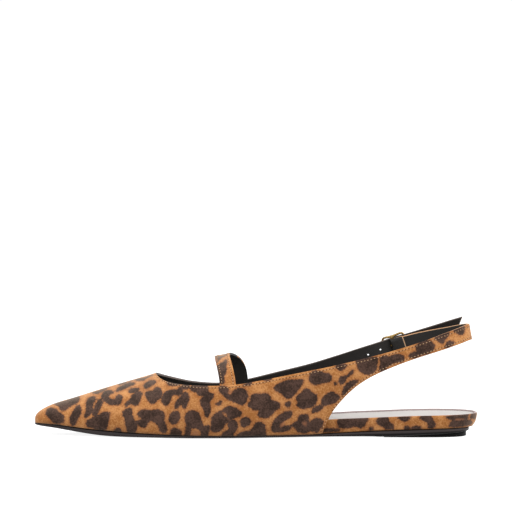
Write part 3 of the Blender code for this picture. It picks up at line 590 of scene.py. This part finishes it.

# %% [markdown]
# ## The print
# The spots of the inner side were charted on enlarged parts of the photo. Each sheet has the photo
# pixel of its corner and a tenth of its enlargement, and each outline is a ring of points on that sheet,
# counted in tens of its pixels. A ring is rounded by adding a point between each two, a little outside the
# straight line. A vertex is then carried to the photo by the camera, and its distance to the nearest ring
# is its depth.

# %% Spots charted on the photo
SPOT_SHEETS = (
    # toe and vamp
    ((20, 300), 1.045, (
        ((27, 117), (30, 113), (35, 113), (39, 115), (40, 117), (44, 119), (46, 123), (45, 128), (40, 129),
         (35, 128), (31, 124), (28, 121)),
        ((34, 107), (42, 104), (50, 101), (60, 97), (62, 103), (60, 107), (55, 110), (50, 113), (46, 116),
         (42, 114), (40, 111)),
        ((55, 117), (59, 111), (62, 110), (64, 114), (63, 120), (60, 125), (57, 131), (54, 131), (52, 126),
         (53, 121)),
        ((69, 109), (70, 104), (74, 101), (78, 101), (79, 104), (77, 107), (76, 111), (76, 116), (73, 120),
         (70, 123), (67, 122), (69, 116)),
        ((77, 114), (80, 108), (82, 104), (85, 104), (86, 108), (84, 113), (82, 117), (79, 122), (76, 120),
         (76, 116)),
        ((69, 129), (70, 126), (74, 124), (79, 122), (84, 119), (89, 117), (94, 118), (93, 123), (92, 129),
         (90, 135), (85, 136), (80, 135), (74, 133), (70, 132)),
        ((85, 101), (87, 97), (91, 94), (96, 95), (98, 97), (94, 99), (93, 102), (96, 104), (100, 103),
         (101, 100), (104, 99), (107, 101), (106, 106), (104, 109), (99, 110), (93, 109), (90, 107),
         (86, 104)),
        ((100, 95), (102, 92), (108, 89), (115, 86), (120, 87), (118, 89), (113, 91), (106, 94),
         (101, 96)),
        ((113, 95), (115, 93), (121, 92), (125, 93), (123, 95), (119, 97), (115, 97)),
        ((109, 110), (111, 107), (115, 104), (117, 100), (122, 96), (127, 96), (127, 100), (125, 106),
         (123, 110), (119, 110), (115, 108), (112, 111)),
        ((75, 96), (80, 93), (88, 90), (97, 87), (99, 88), (93, 91), (87, 95), (80, 98)),
        ((103, 87), (110, 84), (119, 81), (119, 83), (111, 86), (104, 89)),
        ((107, 119), (109, 115), (113, 113), (117, 114), (117, 119), (119, 124), (121, 128), (122, 134),
         (120, 139), (113, 139), (111, 133), (110, 128), (109, 123)),
        ((98, 138), (100, 134), (104, 134), (106, 136), (105, 139), (100, 139)),
    )),
    # throat and inner quarter
    ((130, 330), 1.206, (
        ((6, 60), (13, 56), (20, 53), (27, 51), (27, 54), (20, 58), (15, 61), (10, 61)),
        ((16, 67), (19, 64), (24, 61), (30, 61), (31, 63), (28, 66), (23, 69), (19, 71), (17, 69)),
        ((18, 76), (21, 74), (28, 73), (30, 70), (34, 69), (37, 71), (39, 77), (37, 82), (33, 85), (28, 89),
         (24, 88), (21, 84), (19, 80)),
        ((38, 83), (40, 78), (44, 74), (50, 72), (56, 72), (60, 69), (64, 70), (63, 75), (59, 79), (54, 78),
         (50, 80), (49, 85), (45, 91), (41, 90), (38, 86)),
        ((44, 64), (47, 62), (53, 62), (59, 64), (60, 66), (54, 67), (48, 67)),
        ((61, 69), (64, 66), (69, 65), (72, 68), (69, 71), (64, 71)),
        ((54, 91), (56, 86), (60, 81), (64, 76), (68, 75), (71, 79), (71, 84), (69, 90), (67, 95), (64, 94),
         (62, 90), (59, 93), (55, 95)),
        ((72, 69), (76, 67), (83, 67), (93, 67), (94, 72), (96, 76), (101, 77), (100, 82), (96, 87),
         (97, 93), (97, 100), (94, 105), (90, 103), (89, 97), (85, 90), (85, 85), (88, 80), (83, 79),
         (79, 75), (74, 73)),
        ((103, 89), (106, 87), (111, 85), (110, 89), (107, 91), (104, 90)),
        ((107, 72), (109, 68), (114, 68), (118, 70), (120, 74), (118, 76), (121, 78), (124, 74), (128, 71),
         (133, 70), (139, 72), (142, 78), (141, 85), (137, 90), (132, 90), (128, 88), (124, 86), (118, 84),
         (114, 81), (111, 77), (108, 75)),
        ((137, 65), (141, 64), (147, 63), (146, 66), (142, 67), (138, 67)),
        ((111, 97), (116, 93), (122, 92), (129, 95), (135, 99), (134, 103), (127, 106), (123, 108),
         (119, 106), (116, 101), (113, 100)),
        ((98, 113), (98, 107), (101, 102), (106, 99), (110, 98), (113, 103), (118, 107), (120, 111),
         (115, 113), (113, 117), (108, 122), (101, 123), (97, 120)),
        ((118, 113), (123, 108), (128, 110), (130, 114), (129, 120), (125, 125), (122, 130), (111, 130),
         (112, 124), (115, 122), (119, 120), (118, 116)),
        ((133, 111), (134, 107), (139, 105), (143, 106), (146, 110), (144, 114), (139, 117), (135, 116),
         (133, 113)),
        ((9, 101), (13, 97), (20, 96), (26, 97), (30, 96), (35, 96), (39, 98), (42, 102), (41, 108),
         (43, 114), (45, 119), (44, 123), (40, 124), (36, 122), (34, 116), (30, 112), (26, 110), (22, 111),
         (20, 116), (16, 118), (12, 116), (7, 113), (9, 109), (15, 108), (12, 105)),
        ((47, 106), (49, 101), (53, 98), (58, 98), (60, 102), (60, 107), (57, 112), (54, 114), (50, 113),
         (47, 110)),
        ((49, 124), (50, 120), (54, 118), (59, 120), (62, 123), (61, 128), (49, 128)),
        ((66, 106), (68, 100), (74, 97), (80, 98), (84, 102), (86, 109), (88, 114), (90, 116), (95, 115),
         (96, 120), (94, 126), (93, 129), (86, 129), (85, 122), (81, 119), (76, 118), (73, 121), (72, 129),
         (66, 128), (67, 120), (68, 114)),
    )),
    # quarter and start of the sling
    ((240, 330), 1.206, (
        ((9, 90), (13, 85), (13, 80), (17, 77), (25, 77), (31, 76), (37, 80), (37, 84), (43, 86), (48, 89),
         (48, 94), (43, 97), (39, 101), (35, 105), (30, 106), (24, 105), (21, 102), (23, 97), (18, 97),
         (13, 94)),
        ((-2, 130), (0, 124), (6, 122), (11, 122), (15, 118), (19, 112), (24, 111), (29, 113), (31, 119),
         (31, 125), (29, 130)),
        ((40, 70), (43, 67), (48, 64), (54, 61), (62, 60), (70, 60), (77, 60), (76, 64), (73, 69), (69, 74),
         (64, 80), (59, 83), (54, 81), (50, 77), (44, 74)),
        ((67, 83), (70, 78), (75, 75), (79, 70), (84, 72), (86, 75), (92, 78), (93, 83), (91, 90), (87, 93),
         (81, 94), (76, 95), (70, 93), (68, 90), (70, 87)),
        ((54, 90), (56, 87), (60, 86), (61, 89), (60, 93), (57, 93)),
        ((83, 59), (84, 54), (87, 50), (93, 49), (100, 51), (108, 53), (111, 56), (110, 61), (107, 63),
         (100, 64), (93, 66), (87, 65), (84, 62)),
        ((98, 86), (100, 81), (105, 77), (111, 74), (115, 77), (120, 79), (119, 84), (114, 88), (107, 90),
         (101, 91), (98, 89)),
        ((86, 100), (88, 95), (92, 92), (97, 91), (100, 94), (96, 97), (91, 99)),
        ((38, 118), (40, 111), (44, 106), (50, 101), (56, 98), (62, 98), (63, 102), (60, 106), (54, 109),
         (51, 112), (49, 115), (50, 117), (54, 115), (60, 116), (61, 119), (56, 122), (50, 123), (43, 123),
         (39, 122)),
        ((70, 108), (71, 103), (76, 102), (82, 102), (83, 107), (84, 111), (88, 108), (93, 106), (98, 108),
         (101, 111), (99, 116), (96, 120), (93, 124), (88, 122), (85, 122), (80, 124), (74, 124), (69, 122),
         (66, 118), (61, 115), (65, 112), (68, 110)),
        ((115, 45), (117, 42), (123, 41), (129, 42), (127, 46), (122, 49), (118, 47)),
        ((28, 60), (33, 58), (38, 58), (37, 60), (32, 61)),
        ((119, 61), (121, 57), (126, 55), (130, 54), (132, 51), (136, 48), (137, 51), (133, 55), (129, 58),
         (126, 63), (122, 66), (120, 64)),
        ((113, 64), (115, 63), (117, 65), (115, 67)),
        ((123, 77), (125, 70), (128, 65), (133, 62), (140, 60), (143, 61), (137, 67), (131, 72),
         (125, 79)),
    )),
    # sling, back of the heel and the footbed's edge
    ((340, 300), 1.045, (
        ((17, 64), (20, 60), (26, 59), (33, 60), (39, 60), (39, 66), (38, 72), (35, 76), (29, 78), (23, 76),
         (19, 72), (18, 68)),
        ((41, 73), (42, 66), (42, 61), (46, 58), (52, 59), (57, 57), (64, 57), (67, 59), (66, 64), (60, 65),
         (56, 66), (50, 69), (48, 72), (43, 75)),
        ((72, 59), (74, 55), (80, 54), (79, 49), (83, 45), (89, 42), (95, 43), (99, 48), (97, 53), (92, 56),
         (84, 58), (77, 61)),
        ((99, 40), (103, 37), (109, 35), (114, 34), (113, 38), (110, 41), (108, 45), (105, 45), (101, 42)),
        ((119, 31), (122, 28), (129, 26), (130, 32), (128, 36), (124, 36), (120, 33)),
        ((110, 48), (112, 44), (115, 43), (119, 44), (118, 47), (111, 50)),
        ((-3, 128), (-2, 125), (7, 124), (19, 123), (30, 123), (28, 127), (24, 134), (16, 132), (7, 134),
         (-1, 133), (-2, 130)),
        ((-18, 135), (-14, 134), (-2, 135), (-1, 137), (-18, 138)),
        ((38, 127), (40, 123), (44, 122), (50, 123), (51, 127), (55, 130), (56, 135), (48, 135), (44, 132),
         (40, 130)),
        ((60, 123), (64, 122), (74, 122), (72, 125), (68, 127), (63, 125)),
        ((83, 123), (88, 121), (95, 121), (97, 125), (99, 128), (100, 131), (97, 134), (92, 134), (92, 130),
         (90, 127), (86, 125)),
        ((110, 122), (116, 121), (125, 120), (133, 118), (134, 122), (133, 125), (137, 126), (138, 129),
         (133, 131), (120, 133), (114, 132), (116, 127), (120, 126), (115, 125)),
        ((136, 123), (137, 119), (142, 117), (145, 121), (144, 125), (139, 124)),
        ((30, 136), (32, 132), (35, 134), (34, 136)),
        ((67, 136), (68, 132), (72, 132), (73, 136)),
        ((75, 135), (76, 132), (84, 132), (85, 135)),
    )),
    # instep band
    ((205, 345), 3.136, (
        ((30, 28), (48, 24), (68, 23), (66, 31), (56, 37), (47, 43), (42, 51), (36, 56), (29, 56),
         (28, 40)),
        ((35, 68), (45, 60), (56, 53), (65, 46), (69, 49), (69, 56), (66, 68), (68, 78), (65, 88), (61, 96),
         (60, 106), (60, 120), (46, 120), (42, 108), (38, 95), (35, 83), (34, 74)),
        ((107, 40), (113, 39), (115, 45), (110, 47)),
        ((111, 57), (118, 58), (121, 67), (115, 70)),
    )),
)
HEART_SHEETS = (
    ((130, 330), 1.206, (
        ((119, 72), (123, 73), (122, 77), (119, 77), (118, 74)),
        ((74, 125), (76, 121), (80, 121), (83, 124), (83, 128), (74, 129)),
        ((111, 99), (115, 100), (117, 103), (114, 103)),
    )),
    ((240, 330), 1.206, (
        ((49, 113), (54, 110), (54, 114), (50, 118), (48, 116)),
        ((75, 111), (79, 110), (81, 113), (79, 116), (76, 114)),
    )),
    ((340, 300), 1.045, (
        ((121, 124), (129, 124), (129, 125), (121, 126)),
    )),
    ((205, 345), 3.136, (
        ((30, 38), (38, 40), (40, 50), (34, 54), (30, 52)),
        ((82, 98), (90, 106), (95, 113), (90, 116), (86, 108)),
    )),
)


# %% Depth inside a ring
FAR_PX = 12.0  # a depth is worked out this many pixels round a ring
NEAR_SHARE, FAR_SHARE = 9 / 16, 1 / 16  # the four-point rule for a smooth curve


def photo_rings(sheets):
    """The charted outlines as rounded rings of photo pixels."""
    rings = []
    for corner, enlarged, outlines in sheets:
        for outline in outlines:
            ring = np.array(corner, float) + np.array(outline, float) / enlarged
            before = np.roll(ring, 1, axis=0)
            following = np.roll(ring, -1, axis=0)
            beyond = np.roll(ring, -2, axis=0)
            between = (ring + following) * NEAR_SHARE - (before + beyond) * FAR_SHARE
            rings.append(np.stack((ring, between), axis=1).reshape(-1, 2))
    return rings


def ring_depth(points, ring):
    """How far points lie inside one ring, in the ring's own unit; negative outside."""
    nearest = np.full(len(points), 1e9)
    inside = np.zeros(len(points), bool)
    for start, end in zip(ring, np.roll(ring, -1, axis=0)):
        edge = end - start
        offset = points - start
        along = np.clip(offset @ edge / max(edge @ edge, 1e-9), 0, 1)
        nearest = np.minimum(nearest, np.linalg.norm(offset - along[:, None] * edge, axis=1))
        spans = (start[1] > points[:, 1]) != (end[1] > points[:, 1])
        crossing = start[0] + (points[:, 1] - start[1]) * edge[0] / (edge[1] if edge[1] else 1e-9)
        inside ^= spans & (points[:, 0] < crossing)
    return np.where(inside, nearest, -nearest)


def charted_depth(pixels, rings):
    """The depth inside the nearest of many rings, in millimetres of the shoe."""
    depth = np.full(len(pixels), -FAR_PX)
    for ring in rings:
        low, high = ring.min(axis=0) - FAR_PX, ring.max(axis=0) + FAR_PX
        near = np.all((pixels > low) & (pixels < high), axis=1)
        if near.any():
            depth[near] = np.maximum(depth[near], ring_depth(pixels[near], ring))
    return depth * METRES_PER_PX / MM


SPOT_RINGS = photo_rings(SPOT_SHEETS)
HEART_RINGS = photo_rings(HEART_SHEETS)
print("charted:", len(SPOT_RINGS), "spots and", len(HEART_RINGS), "rust hearts")

# %% [markdown]
# ## The sides that the photo doesn't show
# The same hide goes on round the outer side. There the charted spots are used again: of a few points the
# one with most room is taken, and a ring that suits the room is laid flat on the surface there, turned by
# some angle. It is kept if it leaves a gap to every spot already there. The dice have a fixed seed, so the
# print is the same on each run. Where the surface turns edge on to the camera, a charted spot ends before
# it would be stretched, along a line that wavers so that it doesn't look cut.

# %% Strewn spots for the hidden sides
GAP = 1.5  # millimetres between two spots
TRIES = 900
POINTS_TO_TRY = 8
SNUG, TIGHT = 0.75, 1.3  # a ring's reach, as a share of the room that it is laid in
NEIGHBOURS_MM, SAME_SIDE = 18, 0.2  # a ring reaches points this near whose normals agree this well


def strewn_depth(points, normals, taken, seed):
    """The depth in millimetres inside spots that are strewn where the depth already taken leaves room."""
    dice = random.Random(seed)
    depth = taken.copy()
    rings = [(ring - ring.mean(axis=0)) * METRES_PER_PX / MM for ring in SPOT_RINGS]
    reaches = [np.linalg.norm(ring, axis=1).max() for ring in rings]
    laid = 0
    for _ in range(TRIES):
        tried = [dice.randrange(len(points)) for _ in range(POINTS_TO_TRY)]
        start = min(tried, key=lambda at: depth[at])
        room = -depth[start] - GAP / 2
        suited = [ring for ring, reach in zip(rings, reaches) if SNUG * room < reach < TIGHT * room]
        if not suited:
            continue
        ring = dice.choice(suited)
        normal = Vector(normals[start])
        east = normal.orthogonal().normalized()
        east.rotate(Matrix.Rotation(dice.uniform(0, 2 * math.pi), 3, normal))
        north = normal.cross(east)
        offset = points - points[start]
        same_side = normals @ np.array(normal) > SAME_SIDE
        near = np.flatnonzero((np.abs(offset).max(axis=1) < NEIGHBOURS_MM) & same_side)
        flat = np.stack((offset[near] @ np.array(east), offset[near] @ np.array(north)), axis=1)
        new = ring_depth(flat, ring)
        if np.any((new > -GAP / 2) & (depth[near] > -GAP / 2)):
            continue
        depth[near] = np.maximum(depth[near], new)
        laid += 1
    return depth, laid


# %% Print the pieces
INK_SPREAD = 0.28  # the ink runs this far past a charted outline
EDGE_ON, WELL_SEEN = 0.0, 0.15  # cosines between which a charted spot ends
UNSEEN_LOSS = 9.0  # millimetres of depth that a spot loses where the camera can't see it
WAVER, SHORT_WAVE, LONG_WAVE = 0.09, 2.3 * MM, 4.7 * MM


def print_suede(piece, seed):
    """Writes the print on a piece: charted where the photo sees it and strewn elsewhere."""
    mesh = piece.data
    count = len(mesh.vertices)
    points = np.empty(count * 3)
    normals = np.empty(count * 3)
    mesh.vertices.foreach_get("co", points)
    mesh.vertices.foreach_get("normal", normals)
    points = points.reshape(-1, 3)
    normals = normals.reshape(-1, 3)
    to_eye = np.array(eye) - points
    to_eye = to_eye / np.linalg.norm(to_eye, axis=1)[:, None]
    facing = np.sum(normals * to_eye, axis=1)
    waver = WAVER * np.sin(points[:, 0] / SHORT_WAVE) * np.sin(points[:, 0] / LONG_WAVE + 1)
    seen = np.clip((facing + waver - EDGE_ON) / (WELL_SEEN - EDGE_ON), 0, 1)
    pixels = photo_pixels(points)
    charted = charted_depth(pixels, SPOT_RINGS) - UNSEEN_LOSS * (1 - seen)
    hearts = charted_depth(pixels, HEART_RINGS) - UNSEEN_LOSS * (1 - seen)
    taken = np.where(facing > WELL_SEEN, 0.0, charted)
    strewn, number = strewn_depth(points / MM, normals, taken, seed)
    depth = np.where(facing > WELL_SEEN, charted, strewn) + INK_SPREAD
    for key, values in (("print_depth", depth), ("heart_depth", hearts)):
        layer = mesh.attributes.new(key, "FLOAT", "POINT")
        layer.data.foreach_set("value", values.astype(np.float32))
    print(f"{piece.name}: {number} strewn spots, {np.mean(depth > 0):.0%} of the points are inked")


print_suede(upper, 11)
print_suede(band, 5)
print_suede(footbed, 8)

# %% [markdown]
# ## Stitches
# A row of small stitches runs about a millimetre and a half inside every cut edge and holds suede and
# lining together. The rows follow the rims of the solid: a rim is where an outside face meets any other
# face at a sharp angle. Each stitch is a stretched ball, and a needle hole sits between two of them as a
# flat dark disc of painted shade. On brown the pale thread shows, and on tan the dark holes do.

# %% Follow the rims
UNDERSIDE = -0.75


def rim_steps(bm, sides, lowest):
    """Each rim vertex with its neighbours along the rim and the direction into the outside face."""
    steps = {}
    for edge in bm.edges:
        if len(edge.link_faces) != 2 or edge.calc_face_angle(0.0) < SHARP:
            continue
        first, second = edge.link_faces
        if {sides[first.index], sides[second.index]} not in ({1, 0}, {1, -1}):
            continue
        outer = first if sides[first.index] == 1 else second
        other = second if outer is first else first
        middle = (edge.verts[0].co + edge.verts[1].co) / 2
        if middle.z < lowest and other.normal.z < UNDERSIDE:
            continue
        along = (edge.verts[1].co - edge.verts[0].co).normalized()
        inward = along.cross(outer.normal)
        if inward.dot(outer.calc_center_median() - middle) < 0:
            inward = -inward
        for here, there in (edge.verts, reversed(edge.verts)):
            steps.setdefault(here, []).append((there, inward))
    return steps


def chains(steps):
    """Walks the rim steps from end to end and gives lists of (point, inward)."""
    unused = {frozenset((here, there)) for here, nexts in steps.items() for there, inward in nexts}
    starts = sorted(steps, key=lambda vert: (len(steps[vert]) != 1, vert.index))
    found = []
    for start in starts:
        here = start
        path = []
        while True:
            onward = [pair for pair in steps[here] if frozenset((here, pair[0])) in unused]
            if not onward:
                break
            there, inward = onward[0]
            unused.discard(frozenset((here, there)))
            path.append((here.co.copy(), inward))
            here = there
        if path:
            path.append((here.co.copy(), path[-1][1]))
            found.append(path)
    return found


def evenly(points, pitch):
    """Points at an even pitch along a chain of points."""
    points = np.array(points)
    lengths = np.concatenate(([0.0], np.cumsum(np.linalg.norm(np.diff(points, axis=0), axis=1))))
    stations = np.arange(pitch * 0.5, lengths[-1], pitch)
    return np.stack([np.interp(stations, lengths, points[:, axis]) for axis in range(3)], axis=1)


# %% Sew the rows
STITCH_INSET, STITCH_PITCH = 1.5, 2.1  # millimetres
STITCH_REACH = 1.5 * MM  # a stitch that lies further from the surface is left out
SMOOTHINGS = 3
# Half lengths in millimetres along the row, across it and out of the surface
THREAD_RISE, THREAD_SIZE = 0.05 * MM, (0.6, 0.24, 0.18, 1)
HOLE_RISE, HOLE_SIZE = 0.02 * MM, (0.42, 0.36, 0.08, 1)


def sew(thread, holes, path, surface):
    """Adds the stitches and needle holes of one row, laid on a surface."""
    line = np.array([tuple(point + inward * STITCH_INSET * MM) for point, inward in path])
    for _ in range(SMOOTHINGS):
        line[1:-1] = line[1:-1] * 0.5 + (line[:-2] + line[2:]) * 0.25
    spots = evenly(line, STITCH_PITCH * MM)
    sewn = 0
    for before, after in zip(spots, spots[1:]):
        spot, normal, index, reach = surface.find_nearest(Vector((before + after) / 2))
        if spot is None or reach > STITCH_REACH:
            continue
        along = Vector(after - before).normalized()
        across = normal.cross(along).normalized()
        turned = Matrix((along, across, normal)).transposed().to_4x4()
        start, start_normal, index, reach = surface.find_nearest(Vector(before))
        stitch = (thread, spot + normal * THREAD_RISE, THREAD_SIZE)
        needle_hole = (holes, start + start_normal * HOLE_RISE, HOLE_SIZE)
        for bm, place, size in (stitch, needle_hole):
            matrix = Matrix.Translation(place) @ turned @ Matrix.Diagonal(size)
            bmesh.ops.create_icosphere(bm, subdivisions=1, radius=MM, matrix=matrix)
        sewn += 1
    return sewn


SHORTEST_ROW = 14  # millimetres
LOWEST_SEAM = 14 * MM  # below it the upper's edge meets the sole and has no stitches
thread_mesh = bmesh.new()
hole_mesh = bmesh.new()
total = 0
SEWN = ((upper_mesh, upper_sides, upper, LOWEST_SEAM), (band_mesh, band_sides, band, 0))
for bm, sides, piece, lowest in SEWN:
    bm.verts.index_update()
    tree_of_piece = surface_of(piece)
    for path in chains(rim_steps(bm, sides, lowest)):
        length = sum((b[0] - a[0]).length for a, b in zip(path, path[1:])) / MM
        if length > SHORTEST_ROW:
            total += sew(thread_mesh, hole_mesh, path, tree_of_piece)
            print(f"row of {length:.0f} mm on {piece.name}")
    bm.free()


def new_piece(bm, name, material):
    """Turns a bmesh into a finished piece that rides with the shoe."""
    mesh = bpy.data.meshes.new(name)
    bm.to_mesh(mesh)
    bm.free()
    mesh.materials.append(material)
    mesh.shade_smooth()
    piece = bpy.data.objects.new(name, mesh)
    bpy.context.scene.collection.objects.link(piece)
    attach(piece, "root")


new_piece(thread_mesh, "edge_stitches", THREAD)
new_piece(hole_mesh, "needle_holes", PAINTED_HOLE_SHADE)
print(total, "stitches")

# %% [markdown]
# ## Sole, lift and sock
# The sole and the lift are one rubber, so only their faces differ: satin on the edge, which is painted a
# paler grey as a painted sheen, painted shade on the edge's lower half and on the lift, and fine ribs
# where the sole meets the ground. The sock lies in its seat as the solid does.

# %% Smooth sole, lift and sock
FACES_DOWN = -0.7
MOULDED_RIM = 0.45  # a mould leaves rims softer than a knife does
outsole_mesh = welded("outsole", MOULDED_RIM)
for face in outsole_mesh.faces:
    face.material_index = 1 if face.normal.z < FACES_DOWN else 0
outsole = smooth_piece(outsole_mesh, "rubber_outsole", 2, (SOLE_EDGE, SOLE_TREAD))

# Behind the toe the lower half of the edge is painted blacker than the upper half, as painted shade.
SHADE_FROM_X, SHADE_FADE = -80 * MM, 25 * MM
STATIONS, STATION_REACH = 90, 4 * MM
points = np.array([vertex.co for vertex in outsole.data.vertices])
x, z = points[:, 0], points[:, 2]
stations = np.linspace(x.min(), x.max(), STATIONS)
heights = [z[np.abs(x - station) < STATION_REACH] for station in stations]
tops = np.interp(x, stations, [height.max() for height in heights])
bottoms = np.interp(x, stations, [height.min() for height in heights])
faded = np.clip((x - SHADE_FROM_X) / SHADE_FADE, 0, 1)
layer = outsole.data.attributes.new("edge_depth", "FLOAT", "POINT")
layer.data.foreach_set("value", ((tops - z) / (tops - bottoms) * faded).astype(np.float32))
print("height of the sole's edge:", round(float((tops - bottoms).min() / MM), 2), "mm at least")
lift_mesh = welded("heel_lift")
for face in lift_mesh.faces:
    face.material_index = 1 if face.normal.z < FACES_DOWN else 0
lift = smooth_piece(lift_mesh, "rubber_heel_lift", 2, (LIFT, SOLE_TREAD))
sock_mesh = welded("insole_sock")
sock = smooth_piece(sock_mesh, "leather_sock", 2, (SOCK,))
SOLE_PIECES = ((outsole, "outsole", "black_rubber"), (lift, "heel_lift", "black_rubber"),
               (sock, "insole_sock", "sock_lining"))
for piece, node, slot in SOLE_PIECES:
    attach(piece, "root")
    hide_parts(node)

# %% [markdown]
# ## Buckle
# The frame is a bent wire with a bar across its middle, and the prong hangs on the bar. Both are round in
# section, so one subdivision of the solids is enough for a clean highlight.

# %% Smooth buckle
for node, name in (("buckle_frame", "brass_buckle_frame"), ("buckle_prong", "brass_buckle_prong")):
    metal_mesh = welded(node)
    piece = smooth_piece(metal_mesh, name, 1, (BRASS,))
    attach(piece, "root")
    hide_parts(node)

# %% [markdown]
# ## Sizes
# The dressed shoe has to keep the size of the solids. Both boxes are printed, so they can be compared.

# %% Print both boxes and finish
VISUAL_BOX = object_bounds()
boxes = {"cad": [list(corner) for corner in CAD_BOX], "visual": [list(corner) for corner in VISUAL_BOX]}
for key, box in boxes.items():
    print(key, "box in mm:", [[round(value / MM, 1) for value in corner] for corner in box])
